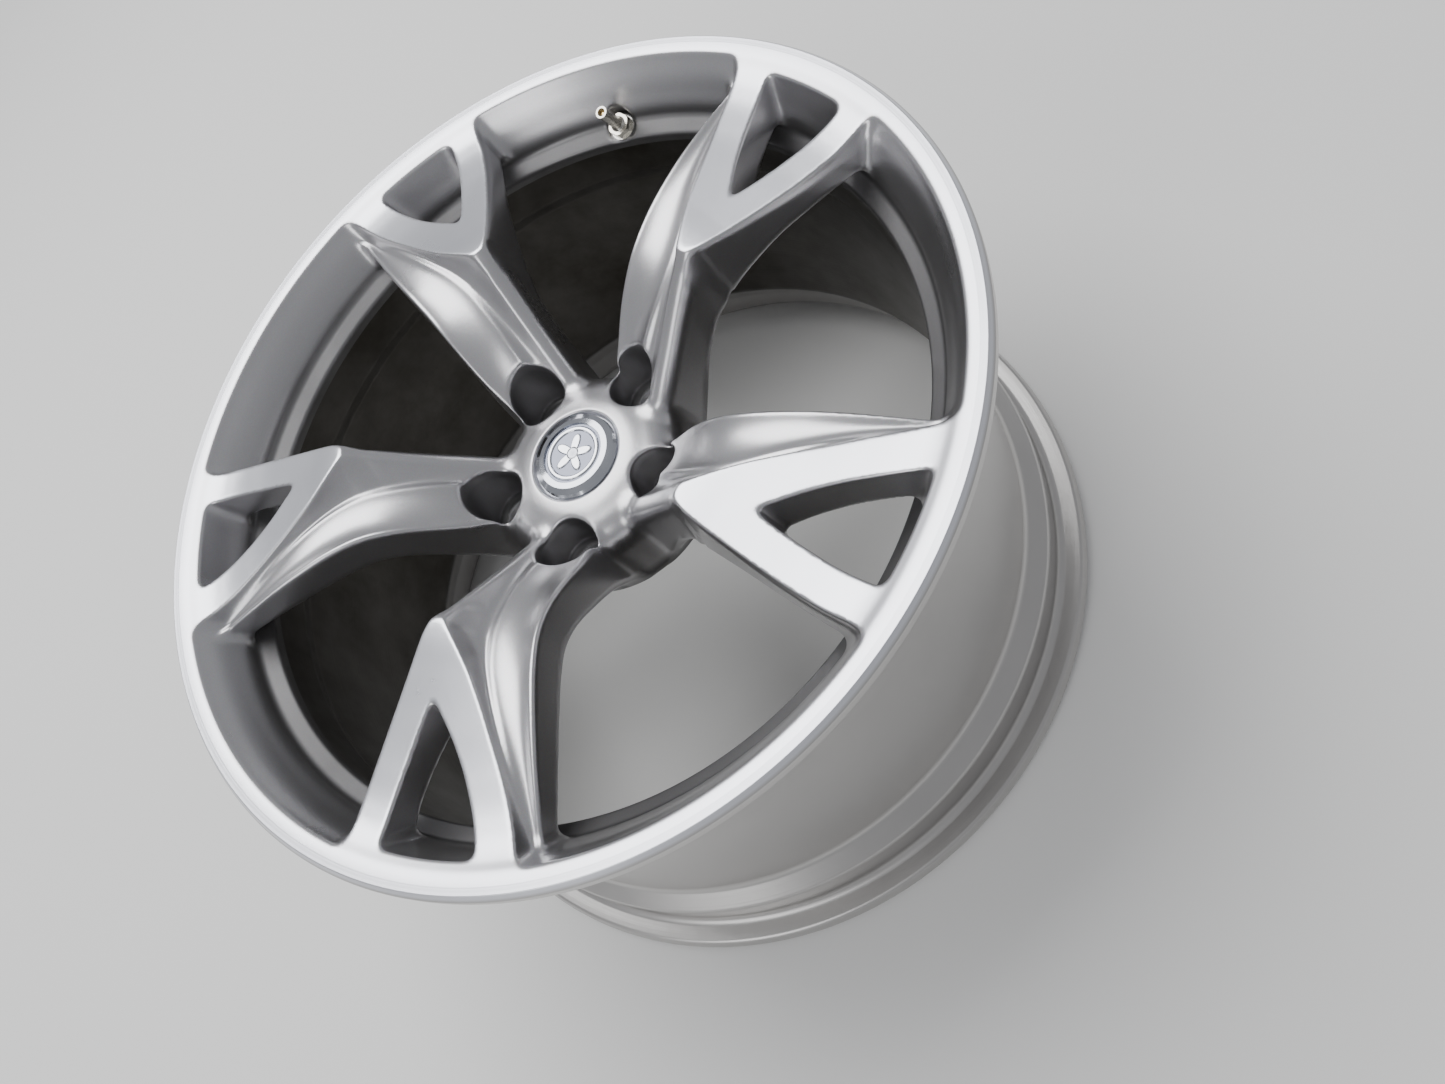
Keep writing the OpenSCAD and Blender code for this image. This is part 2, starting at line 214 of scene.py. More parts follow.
def forging(r, t, z):
    """Signed distance to the forged disc, less than nothing inside the metal, on polar lines r, t, z."""
    x, y = r * np.cos(t), r * np.sin(t)
    face = through(FACE_HEIGHT, r)
    depth = np.maximum(face - z, 0)
    plate = rounded_max((through(STRAIGHT_EDGE, x) - y - WALL_DRAFT * depth) * lean(STRAIGHT_EDGE, x),
                        (y - through(FACE_EDGE, x) - WALL_DRAFT * depth) * lean(FACE_EDGE, x), 16)
    share = np.clip((through(FACE_EDGE, x) - y) / 60, 0, 1)
    under = through(UNDERSIDE, r) * (1 - share) + through(STRAIGHT_UNDERSIDE, r) * share
    plate = rounded_max(plate, under - z, 3.5)
    body = rounded_min(spoke_body(r, t, z), plate, 2.6)
    window = rounded_max(rounded_max((through(WINDOW_STRAIGHT, x) - y) * lean(WINDOW_STRAIGHT, x),
                                     (y - through(WINDOW_SLANT, x)) * lean(WINDOW_SLANT, x), 7),
                         r - WINDOW_END_R, 6.5) + WINDOW_DRAFT * depth
    body = rounded_max(body, -window, 1.4)
    drop_wall = (through(DROP_WALL, z) - r) * lean(DROP_WALL, z)
    ledge_fall = z - LEDGE_FOOT - LEDGE_SLOPE * (r - LEDGE_R)
    ledge = rounded_max(LEDGE_R - r, ledge_fall * 0.838, 0.8)
    body = rounded_min(rounded_min(body, drop_wall, 8), ledge, 1.5)
    body = rounded_max(body, z - face, 1.2)

    near = r[:, 0, 0] < HUB_REACH_R
    left, right = (spoke_body(r[near], t + turn, z) for turn in (-PITCH, PITCH))
    bars = rounded_min(*two_least(body[near], left, right), 7)
    hub = rounded_max(z - through(HUB_TOP, r[near]),
                      (r[near] - HUB_FLOOR_R + HUB_WALL_SLOPE * (z + LIP_HEIGHT)) * 0.99, 14)
    body[near] = rounded_min(bars, hub, 8)
    body = rounded_max(body, -LIP_HEIGHT - z, 1)

    for turn in (-PITCH, 0, PITCH):
        aside = np.sqrt((r * np.cos(t + turn) - BOLT_CIRCLE_R * math.cos(BOLT_LEAD)) ** 2
                        + (r * np.sin(t + turn) - BOLT_CIRCLE_R * math.sin(BOLT_LEAD)) ** 2)
        seat = (aside - np.interp(z, [SEAT_FOOT, SEAT_TOP], [BOLT_HOLE_R, SEAT_TOP_R])) * 0.84
        pocket = np.minimum(rounded_max(aside - POCKET_R, SEAT_TOP - z, 5), seat)
        body = rounded_max(body, -pocket, 1.8)
    body = rounded_max(body, -np.maximum(r - CAP_RECESS_R, CAP_RECESS_FLOOR - z), 0.8)
    body = rounded_max(body, -np.maximum(r - BORE_R, z - BORE_TOP), 0.8)
    return np.maximum(body, SKIN_INNER_R - r)


VALVE_ANGLE = math.radians(7)
VALVE_LEAN = math.radians(20)
VALVE_R = 227.0
VALVE_DEPTH = -38.0


def valve_recess(r, t, z):
    """Distance outside a round pocket 10 mm in radius whose floor is the valve's seat."""
    out = r * np.cos(t) - VALVE_R
    up = z - VALVE_DEPTH
    along = up * math.cos(VALVE_LEAN) - out * math.sin(VALVE_LEAN)
    aside = np.sqrt((out * math.cos(VALVE_LEAN) + up * math.sin(VALVE_LEAN)) ** 2 + (r * np.sin(t)) ** 2)
    return rounded_max(aside - 10, -along, 1.5)


def skin(field, r, t, z):
    """Surface where the field is nothing: one point in each cell it crosses, at the mean of the edge
    crossings, moved once along the slope, and one face round each grid edge that it crosses."""
    inside = field < 0
    nr, nt, nz = (n - 1 for n in inside.shape)
    total = sum(inside[a:a + nr, b:b + nt, c:c + nz].astype(np.int8)
                for a in (0, 1) for b in (0, 1) for c in (0, 1))
    cells = np.argwhere((total > 0) & (total < 8))
    number = np.full(total.shape, -1, np.int64)
    number[tuple(cells.T)] = np.arange(len(cells))
    corner = np.array([(a, b, c) for a in (0, 1) for b in (0, 1) for c in (0, 1)])
    at = cells[:, None, :] + corner[None]
    value = field[at[..., 0], at[..., 1], at[..., 2]]
    place = np.zeros((len(cells), 3))
    count = np.zeros(len(cells))
    for a in range(8):
        for b in range(a + 1, 8):
            if np.abs(corner[a] - corner[b]).sum() != 1:
                continue
            crosses = (value[:, a] < 0) != (value[:, b] < 0)
            share = np.where(crosses, value[:, a] / np.where(crosses, value[:, a] - value[:, b], 1), 0)
            place += crosses[:, None] * (corner[a] + share[:, None] * (corner[b] - corner[a]))
            count += crosses
    place /= count[:, None]
    weight = np.prod(np.where(corner[None] == 1, place[:, None], 1 - place[:, None]), axis=2)
    slopes = np.gradient(field, r, t, z)
    slope = np.stack([(s[at[..., 0], at[..., 1], at[..., 2]] * weight).sum(1) for s in slopes], 1)
    left = (value * weight).sum(1)
    where = [np.interp(cells[:, k] + place[:, k], np.arange(len(g)), g) for k, g in enumerate((r, t, z))]
    slope[:, 1] /= where[0]
    size = (slope ** 2).sum(1)
    step = np.clip(-left / size, -0.7, 0.7)[:, None] * slope
    rr, tt, zz = where[0] + step[:, 0], where[1] + step[:, 1] / where[0], where[2] + step[:, 2]
    normal = slope / np.sqrt(size)[:, None]
    faces = []
    for axis in range(3):
        u, v = (axis + 1) % 3, (axis + 2) % 3
        low = [slice(None)] * 3
        high = [slice(None)] * 3
        low[axis], high[axis] = slice(0, -1), slice(1, None)
        low[u] = high[u] = low[v] = high[v] = slice(1, -1)
        if axis == 1:
            low[1], high[1] = slice(0, -2), slice(1, -1)
        crossing = inside[tuple(low)] != inside[tuple(high)]
        p = np.argwhere(crossing)
        p[:, u] += 1
        p[:, v] += 1
        ring = []
        for du, dv in ((-1, -1), (0, -1), (0, 0), (-1, 0)):
            q = p.copy()
            q[:, u] += du
            q[:, v] += dv
            ring.append(number[tuple(q.T)])
        quad = np.stack(ring, 1)
        out = inside[tuple(p.T)]
        faces.append(np.where(out[:, None], quad, quad[:, ::-1]))
    return cells, rr, tt, zz, normal, np.concatenate(faces)


def piece_from(name, points, normals, faces, material, **shares):
    """Mesh object whose vertices are the points, in metres, with the given normals, and with named
    shares from 0 to 1 kept as point attributes."""
    used = np.unique(faces)
    back = np.zeros(len(points), np.int64)
    back[used] = np.arange(len(used))
    faces = back[faces]
    mesh = bpy.data.meshes.new(name)
    mesh.vertices.add(len(used))
    mesh.vertices.foreach_set("co", np.ascontiguousarray(points[used], np.float32).ravel())
    mesh.loops.add(faces.size)
    mesh.loops.foreach_set("vertex_index", np.ascontiguousarray(faces, np.int32).ravel())
    mesh.polygons.add(len(faces))
    mesh.polygons.foreach_set("loop_start", np.arange(0, faces.size, 4, dtype=np.int32))
    mesh.update(calc_edges=True)
    mesh.polygons.foreach_set("use_smooth", np.ones(len(faces), bool))
    mesh.normals_split_custom_set_from_vertices(normals[used].astype(np.float32))
    for key, share in shares.items():
        held = mesh.attributes.new(key, "FLOAT", "POINT")
        held.data.foreach_set("value", share[used].astype(np.float32))
    mesh.materials.append(material)
    obj = bpy.data.objects.new(name, mesh)
    bpy.context.collection.objects.link(obj)
    return obj


def new_material(name, **inputs):
    """Principled material with the given socket values."""
    mat = bpy.data.materials.new(name)
    mat.use_nodes = True
    shader = mat.node_tree.nodes["Principled BSDF"]
    for key, value in inputs.items():
        shader.inputs[key.replace("_", " ")].default_value = value
    return mat


def add(mat, kind, **values):
    """Node of that kind with its settings and sockets filled in. S and a number is a socket by place,
    any other capital a socket by name, and a linked socket is given as (node, output)."""
    node = mat.node_tree.nodes.new(kind)
    for key, value in values.items():
        if hasattr(node, key) and not key[0].isupper():
            setattr(node, key, value)
            continue
        by_place = key[0] == "S" and key[1:].isdigit()
        socket = node.inputs[int(key[1:]) if by_place else key.replace("_", " ")]
        if isinstance(value, tuple) and len(value) == 2 and hasattr(value[0], "outputs"):
            mat.node_tree.links.new(value[0].outputs[value[1]], socket)
        else:
            socket.default_value = value
    return node


def feed(mat, socket, node, output):
    """Joins a node's output to a socket of the shader."""
    mat.node_tree.links.new(node.outputs[output], mat.node_tree.nodes["Principled BSDF"].inputs[socket])


def smoked_silver():
    """Fine-flake silver paint: flakes tilt the base and orange peel ripples the coat. Painted shade, with
    some dust, darkens and dulls it deep in the pockets, behind the spokes and below the ledge, and it is
    bare and brighter where it was machined."""
    mat = new_material("smoked_silver_paint", Metallic=0.94, Coat_Weight=0.4, Coat_Roughness=0.09)
    where = add(mat, "ShaderNodeTexCoord")
    flake = add(mat, "ShaderNodeTexVoronoi", Vector=(where, "Object"), Scale=2600.0)
    cloud = add(mat, "ShaderNodeTexNoise", Vector=(where, "Object"), Scale=14.0, Detail=5.0)
    tint = add(mat, "ShaderNodeMix", data_type="RGBA", S0=(cloud, 0),
               S6=(0.565, 0.56, 0.575, 1), S7=(0.64, 0.635, 0.655, 1))
    spark = add(mat, "ShaderNodeMix", data_type="RGBA", blend_type="MULTIPLY", S0=0.14,
                S6=(tint, 2), S7=(flake, "Color"))
    grime = add(mat, "ShaderNodeAttribute", attribute_name="grime")
    patch = add(mat, "ShaderNodeMapRange", S0=(cloud, 0), S1=0.3, S2=0.7, S3=0.82, S4=1.0)
    shaded_and_soiled = add(mat, "ShaderNodeMath", operation="MULTIPLY", S0=(grime, "Fac"), S1=(patch, 0))
    machined = add(mat, "ShaderNodeAttribute", attribute_name="machined")
    bare = add(mat, "ShaderNodeMix", data_type="RGBA", S0=(machined, "Fac"),
               S6=(spark, 2), S7=(0.80, 0.81, 0.86, 1))
    # Painted shade mixed with dust: near-black colour in the pockets, behind the spokes and below the
    # ledge.
    shade = add(mat, "ShaderNodeMix", data_type="RGBA", S0=(shaded_and_soiled, 0),
                S6=(bare, 2), S7=(0.05, 0.048, 0.045, 1))
    feed(mat, "Base Color", shade, 2)
    rough = add(mat, "ShaderNodeMapRange", S0=(cloud, 0), S3=0.24, S4=0.34)
    dull = add(mat, "ShaderNodeMath", operation="MULTIPLY_ADD", S0=(shaded_and_soiled, 0), S1=0.22, S2=(rough, 0))
    feed(mat, "Roughness", dull, 0)
    peel = add(mat, "ShaderNodeTexNoise", Vector=(where, "Object"), Scale=420.0, Detail=1.0)
    ripple = add(mat, "ShaderNodeBump", Height=(peel, 0), Strength=0.018, Distance=0.001)
    feed(mat, "Coat Normal", ripple, 0)
    grain = add(mat, "ShaderNodeBump", Height=(flake, "Distance"), Strength=0.05, Distance=0.0004,
                Normal=(ripple, 0))
    feed(mat, "Normal", grain, 0)
    return mat


silver = smoked_silver()
R_STEP, R_FROM, R_TO = 1.25, 24.0, 252.75
Z_FROM, Z_STEP = -112.1, 1.25
TURNS = 192
r_lines = np.arange(R_FROM, R_TO + 0.01, R_STEP)
z_lines = np.concatenate([np.arange(Z_FROM, -9, Z_STEP), np.arange(-8.6, 9.5, 0.75)])
SECTOR_START = math.radians(-30)
t_lines = SECTOR_START + np.arange(TURNS + 2) * PITCH / TURNS
grid = (r_lines[:, None, None], t_lines[None, :, None], z_lines[None, None, :])
plain = forging(*grid).astype(np.float32)
VALVE_SPOKE = 1
to_valve = VALVE_ANGLE - FIRST_SPOKE + VALVE_SPOKE * PITCH
with_recess = rounded_max(plain, -valve_recess(grid[0], grid[1] - to_valve, grid[2]), 1.2)
ROOT_R, LEDGE_BACK_R, LEDGE_BOTTOM = 78, 212, -46
SPLIT_CELL = int((ROOT_R - R_FROM) / R_STEP)
WALL_CELL = int((LEDGE_BACK_R - R_FROM) / R_STEP)
CUT_CELL = int((LEDGE_BOTTOM - Z_FROM) / Z_STEP)


def ramp(value, start, width, floor=0):
    """Share from the floor to one, rising evenly over the width from the start."""
    return np.clip((value - start) / width, floor, 1)


def dust_and_shade_share(r, t, z):
    """How much painted shade, with some dust, darkens the metal: full down in the socket pockets and
    behind the spokes, some low on the wall of the dish, and most of it below the ledge."""
    aside = np.minimum(*(np.hypot(r * np.cos(t - turn) - BOLT_CIRCLE_R * math.cos(BOLT_LEAD),
                                  r * np.sin(t - turn) - BOLT_CIRCLE_R * math.sin(BOLT_LEAD))
                         for turn in (0, PITCH)))
    mouth = np.interp(r, [40, 50, 62, 76], [-60, -61, -56, -45])
    pocket = ramp(-aside, -17.6, 1.2) * ramp(-z, -mouth, 5) * ramp(aside, 11.5, 1.5, 0.1) * 0.93
    behind = ramp(-z, -through(UNDERSIDE, r) - 5, 7) * 0.75
    wall = ramp(-z, 10, 26) * ramp(z, -34, 3) * ramp(r, 222, 6) * 0.45
    below = ramp(-z, 41, 1.5) * ramp(r, 205, 8) * 0.9
    return np.maximum(np.maximum(pocket, behind), np.maximum(wall, below))


def sector(field, k, lines):
    """One fifth of the forging's skin, turned to spoke k, as points, normals, faces and their cells."""
    cells, r, t, z, normal, faces = skin(field, *lines)
    turn = t + FIRST_SPOKE - k * PITCH
    cos, sin = np.cos(turn), np.sin(turn)
    points = np.stack([r * cos, r * sin, z + LIP_HEIGHT], 1) * MM
    out, along, up = normal.T
    normals = np.stack([out * cos - along * sin, out * sin + along * cos, up], 1)
    cell_r, cell_z = cells[faces][..., 0], cells[faces][..., 2]
    shown = ~((cell_r > WALL_CELL) & (cell_z < CUT_CELL)).any(1)
    flat = ramp(z, through(FACE_HEIGHT, r) - 0.75, 0.35) * ramp(up, 0.9, 0.07)
    return points, normals, faces, shown, cell_r, dust_and_shade_share(r, t, z), flat


HUB_TURNS = 84
HUB_GRID_R, HUB_GRID_TOP = 84, -26
hub_t = SECTOR_START + np.arange(HUB_TURNS + 2) * PITCH / HUB_TURNS
hub_r = r_lines[r_lines < HUB_GRID_R]
hub_z = z_lines[z_lines < HUB_GRID_TOP]
hub_field = forging(hub_r[:, None, None], hub_t[None, :, None], hub_z[None, None, :]).astype(np.float32)
hub_points, hub_normals, hub_faces, hub_shade_and_dust, hub_flat = [], [], [], [], []
for k in range(SPOKES):
    field = with_recess if k == VALVE_SPOKE else plain
    points, normals, faces, shown, cell_r, shade_and_dust, flat = sector(field, k, (r_lines, t_lines, z_lines))
    in_hub = (cell_r < SPLIT_CELL).all(1)
    spoke = piece_from("forged_spoke_%d" % (k + 1), points, normals, faces[shown & ~in_hub], silver,
                       grime=shade_and_dust, machined=flat)
    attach(spoke, "wheel")
    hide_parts("spoke_%d" % (k + 1))
    points, normals, faces, shown, cell_r, shade_and_dust, flat = sector(hub_field, k, (hub_r, hub_t, hub_z))
    hub_faces.append(faces[(cell_r < SPLIT_CELL + 1).all(1)] + sum(len(p) for p in hub_points))
    hub_points.append(points)
    hub_normals.append(normals)
    hub_shade_and_dust.append(shade_and_dust)
    hub_flat.append(flat)
hub = piece_from("forged_hub", np.concatenate(hub_points), np.concatenate(hub_normals),
                 np.concatenate(hub_faces), silver,
                 grime=np.concatenate(hub_shade_and_dust), machined=np.concatenate(hub_flat))
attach(hub, "wheel")
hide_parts("hub_centre")


# ---------------------------------------------------------------------------
# Barrel: the deep rim that the tyre sits on, one metal with the disc, spun
# and turned to a drop-centre section with two bead seats and rolled flanges.
# Satin clear coat over bare metal, dark brown inside from dust and painted shade.
# ---------------------------------------------------------------------------
def filleted(corners, arc_steps=5):
    """Line through the corners with each corner (r, z, fillet) swung round in an arc. Gives points, and
    normals to the right of the travel, exact along the arcs and so along the straights between them."""
    c = np.array(corners, float)
    points, normals = [], []
    for i in range(1, len(c) - 1):
        a, b, d = c[i - 1, :2], c[i, :2], c[i + 1, :2]
        into, out = (b - a) / np.linalg.norm(b - a), (d - b) / np.linalg.norm(d - b)
        turn = math.atan2(into[0] * out[1] - into[1] * out[0], into @ out)
        side = math.copysign(1, turn)
        start = b - into * abs(c[i, 2] * math.tan(turn / 2))
        centre = start + side * c[i, 2] * np.array([-into[1], into[0]])
        swing = np.linspace(0, turn, arc_steps)
        n = np.stack([into[1] * np.cos(swing) + into[0] * np.sin(swing),
                      -into[0] * np.cos(swing) + into[1] * np.sin(swing)], 1)
        points.append(centre + side * c[i, 2] * n)
        normals.append(n)
    return np.concatenate(points), np.concatenate(normals)


def turned(name, points, normals, steps, material):
    """Section carried once round the axle: each point sweeps a circle of its own radius."""
    angle = np.linspace(0, 2 * math.pi, steps, endpoint=False)
    n = len(points)
    cos, sin = np.cos(angle)[:, None], np.sin(angle)[:, None]
    p = np.stack([points[:, 0] * cos, points[:, 0] * sin, points[:, 1] + 0 * cos], 2).reshape(-1, 3)
    q = np.stack([normals[:, 0] * cos, normals[:, 0] * sin, normals[:, 1] + 0 * cos], 2).reshape(-1, 3)
    i = np.arange(n - 1)[None, :]
    j = np.arange(steps)[:, None]
    k = (j + 1) % steps
    faces = np.stack([j * n + i, k * n + i, k * n + i + 1, j * n + i + 1], 2).reshape(-1, 4)
    return piece_from(name, p * MM, q, faces, material)


def satin_barrel():
    """Turned aluminium: faint lathe lines round the rim, brown dust and painted shade inside, and a bright
    machined ring on the street side."""
    mat = new_material("satin_turned_barrel", Metallic=0.95, Coat_Weight=0.25, Coat_Roughness=0.25)
    where = add(mat, "ShaderNodeTexCoord")
    parts = add(mat, "ShaderNodeSeparateXYZ", Vector=(where, "Object"))
    xx = add(mat, "ShaderNodeMath", operation="MULTIPLY", S0=(parts, 0), S1=(parts, 0))
    yy = add(mat, "ShaderNodeMath", operation="MULTIPLY", S0=(parts, 1), S1=(parts, 1))
    rr = add(mat, "ShaderNodeMath", operation="ADD", S0=(xx, 0), S1=(yy, 0))
    radius = add(mat, "ShaderNodeMath", operation="SQRT", S0=(rr, 0))
    lathe = add(mat, "ShaderNodeCombineXYZ", X=(radius, 0), Z=(parts, 2))
    lines = add(mat, "ShaderNodeTexNoise", Vector=(lathe, 0), Scale=900.0, Detail=3.0)
    shade_and_dust = add(mat, "ShaderNodeTexNoise", Vector=(where, "Object"), Scale=9.0, Detail=6.0, Roughness=0.65)
    inside = add(mat, "ShaderNodeMapRange", S0=(radius, 0), S1=0.2262, S2=0.2225, S3=0.0, S4=1.0)
    below = add(mat, "ShaderNodeMapRange", S0=(parts, 2), S1=0.071, S2=0.066, S3=0.0, S4=1.0)
    dirty_and_shaded = add(mat, "ShaderNodeMath", operation="MULTIPLY", S0=(inside, 0), S1=(below, 0))
    patchy = add(mat, "ShaderNodeMapRange", S0=(shade_and_dust, 0), S1=0.25, S2=0.75, S3=0.8, S4=1.0)
    amount = add(mat, "ShaderNodeMath", operation="MULTIPLY", S0=(dirty_and_shaded, 0), S1=(patchy, 0))
    clean = add(mat, "ShaderNodeMix", data_type="RGBA", S0=(shade_and_dust, 0),
                S6=(0.46, 0.45, 0.44, 1), S7=(0.56, 0.55, 0.54, 1))
    # Painted shade with brown dust: near-black brown inside the barrel, below the ledge.
    colour = add(mat, "ShaderNodeMix", data_type="RGBA", S0=(amount, 0),
                 S6=(clean, 2), S7=(0.026, 0.022, 0.015, 1))
    outer = add(mat, "ShaderNodeMapRange", S0=(radius, 0), S1=0.2455, S2=0.2475, S3=0.0, S4=1.0)
    high = add(mat, "ShaderNodeMapRange", S0=(parts, 2), S1=0.1068, S2=0.1082, S3=0.0, S4=1.0)
    lip = add(mat, "ShaderNodeMath", operation="MULTIPLY", S0=(outer, 0), S1=(high, 0))
    cut = add(mat, "ShaderNodeMix", data_type="RGBA", S0=(lip, 0),
              S6=(colour, 2), S7=(0.80, 0.81, 0.86, 1))
    feed(mat, "Base Color", cut, 2)
    coat = add(mat, "ShaderNodeMath", operation="MULTIPLY_ADD", S0=(amount, 0), S1=-0.22, S2=0.25)
    feed(mat, "Coat Weight", coat, 0)
    rough = add(mat, "ShaderNodeMapRange", S0=(shade_and_dust, 0), S3=0.26, S4=0.46)
    feed(mat, "Roughness", rough, 0)
    bump = add(mat, "ShaderNodeBump", Height=(lines, 0), Strength=0.12, Distance=0.0006)
    feed(mat, "Normal", bump, 0)
    return mat


barrel_metal = satin_barrel()
face_join = R_TO - R_STEP / 2
wall_join = Z_FROM + (CUT_CELL + 0.5) * Z_STEP
RIM_SECTION = [
    (245, -1.6, 0), (251, -0.35, 3), (256.2, 0.1, 0.8), (259, -3.2, 1.5), (259, -8.6, 3),
    (256.4, -12.7, 3), (241.3, -12.7, 6), (239.8, -34, 3), (240.8, -37, 2.5), (239.4, -40.8, 2.5),
    (237, -45.1, 2), (226.5, -51.3, 5), (224, -56.7, 4), (224, -67.7, 6), (227, -75, 6),
    (227, -227.4, 9), (240.4, -238.1, 4), (240.9, -240.9, 2), (239.8, -244.7, 3), (241.3, -266.7, 6),
    (252, -266.7, 0.8), (256.6, -266.9, 3.2), (259, -272.2, 4), (258, -279.4, 5.5), (247, -279.4, 2),
    (239, -267.7, 5), (236.4, -247.7, 10), (221.8, -222.4, 12), (221.8, -78.7, 9), (218.5, -69.7, 9),
    (LEDGE_R, wall_join, 0)
]
points, normals = filleted([(face_join - 3, -0.4, 0)] + RIM_SECTION[1:])
start = np.array([[face_join, float(through(FACE_HEIGHT, np.array(face_join)))]])
end = np.array([[LEDGE_R, wall_join]])
keep = (points[:, 0] > face_join + 0.3) | (points[:, 1] < -2)
points = np.concatenate([start, points[keep], end]) + [0, LIP_HEIGHT]
normals = np.concatenate([[[-0.05, 0.99]], -normals[keep], [[-1, 0]]])
BARREL_STEPS = 480
barrel = turned("forged_barrel", points[::-1], normals[::-1], BARREL_STEPS, barrel_metal)
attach(barrel, "wheel")
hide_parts("rim_barrel")


# ---------------------------------------------------------------------------
# Centre cap: round cover pushed into the hub bore from the street side on six
# sprung legs, moulded in ABS plastic and chrome plated.
# ---------------------------------------------------------------------------
def mottled(name, low, high, rough, scale, bump=0.03, **inputs):
    """Material whose colour and roughness drift with a soft cloud between two values, over a fine bump."""
    mat = new_material(name, **inputs)
    where = add(mat, "ShaderNodeTexCoord")
    cloud = add(mat, "ShaderNodeTexNoise", Vector=(where, "Object"), Scale=scale, Detail=5.0,
                Roughness=0.6)
    tint = add(mat, "ShaderNodeMix", data_type="RGBA", S0=(cloud, 0), S6=low + (1,), S7=high + (1,))
    feed(mat, "Base Color", tint, 2)
    shine = add(mat, "ShaderNodeMapRange", S0=(cloud, 0), S1=0.3, S2=0.7, S3=rough[0], S4=rough[1])
    feed(mat, "Roughness", shine, 0)
    fine = add(mat, "ShaderNodeTexNoise", Vector=(where, "Object"), Scale=scale * 12, Detail=2.0)
    ripple = add(mat, "ShaderNodeBump", Height=(fine, 0), Strength=bump, Distance=0.0005)
    feed(mat, "Normal", ripple, 0)
    return mat


def dress(node, material):
    """Puts the material in every slot of a CAD piece."""
    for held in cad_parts[node].material_slots:
        held.material = material


dress("centre_cap",
      mottled("cap_chrome", (0.50, 0.52, 0.57), (0.62, 0.64, 0.68), (0.06, 0.16), 60.0, 0.02,
              Metallic=1.0))


# ---------------------------------------------------------------------------
# Cap badge: thin plated disc bonded in the recess of the cap, with a plain
# raised ring and a five-petalled rosette, pressed and chrome plated.
# ---------------------------------------------------------------------------
BADGE_R = 19.3
BADGE_FLOOR = 56.62
BADGE_FIELD = 56.95


def step_down(distance, width):
    """Falls smoothly from one to nothing as the distance goes through zero, over the width."""
    t = np.clip(0.5 - distance / width, 0, 1)
    return t * t * (3 - 2 * t)


def pressed_badge(material):
    """Disc whose height over the polar grid is a flat field plus a ring and a rosette of five petals,
    less a round hollow in the middle."""
    rows, columns = 96, 240
    r = np.concatenate([[0.02, BADGE_R], np.linspace(BADGE_R, 0.02, rows)])[:, None]
    a = np.linspace(0, 2 * math.pi, columns, endpoint=False)[None, :]
    ring = step_down(np.abs(r - 16.2) - 1.1, 0.9) * 0.9
    petal = r - 8.2 - 4.2 * np.cos(5 * a)
    rosette = step_down(petal, 1.1) * (0.55 + 0.35 * np.clip(r / 11, 0, 1))
    hollow = step_down(r - 3.6, 1.2) * 0.4
    height = BADGE_FIELD + ring + rosette - hollow
    z = np.where(np.arange(rows + 2)[:, None] < 2, BADGE_FLOOR, height)
    grid_points = np.stack([r * np.cos(a), r * np.sin(a), z], 2)
    down = np.gradient(grid_points, axis=0)
    round_ = np.roll(grid_points, -1, 1) - np.roll(grid_points, 1, 1)
    normal = np.cross(round_, down)
    normal /= np.maximum(np.linalg.norm(normal, axis=2, keepdims=True), 1e-9)
    i, j = np.meshgrid(np.arange(rows + 1), np.arange(columns), indexing="ij")
    k = (j + 1) % columns
    faces = np.stack([i * columns + j, i * columns + k, (i + 1) * columns + k, (i + 1) * columns + j], 2)
    low = 1 - np.clip((z - BADGE_FIELD) / 0.5, 0, 1) + 0 * a
    return piece_from("pressed_badge", grid_points.reshape(-1, 3) * MM, normal.reshape(-1, 3),
                      faces.reshape(-1, 4), material, low=low.ravel())


def badge_plating():
    """Chrome, smoked in the low field and bright on the raised parts, with faint handling marks."""
    mat = mottled("badge_plating", (0.62, 0.64, 0.68), (0.78, 0.80, 0.83), (0.05, 0.14), 160.0, 0.02,
                  Metallic=1.0)
    low = add(mat, "ShaderNodeAttribute", attribute_name="low")
    where = add(mat, "ShaderNodeTexCoord")
    cloud = add(mat, "ShaderNodeTexNoise", Vector=(where, "Object"), Scale=300.0, Detail=3.0)
    bright = add(mat, "ShaderNodeMix", data_type="RGBA", S0=(cloud, 0),
                 S6=(0.62, 0.64, 0.68, 1), S7=(0.8, 0.82, 0.85, 1))
    smoked = add(mat, "ShaderNodeMix", data_type="RGBA", S0=(low, "Fac"),
                 S6=(bright, 2), S7=(0.17, 0.18, 0.22, 1))
    feed(mat, "Base Color", smoked, 2)
    return mat


badge = pressed_badge(badge_plating())
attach(badge, "cap")
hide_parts("cap_badge")


# ---------------------------------------------------------------------------
# Cap spring ring: open ring of drawn spring steel wire that spreads the six
# legs of the cap from inside, so that they grip the bore.
# ---------------------------------------------------------------------------
dress("cap_spring_ring",
      mottled("spring_wire", (0.20, 0.20, 0.21), (0.34, 0.34, 0.35), (0.25, 0.4), 220.0, Metallic=1.0))


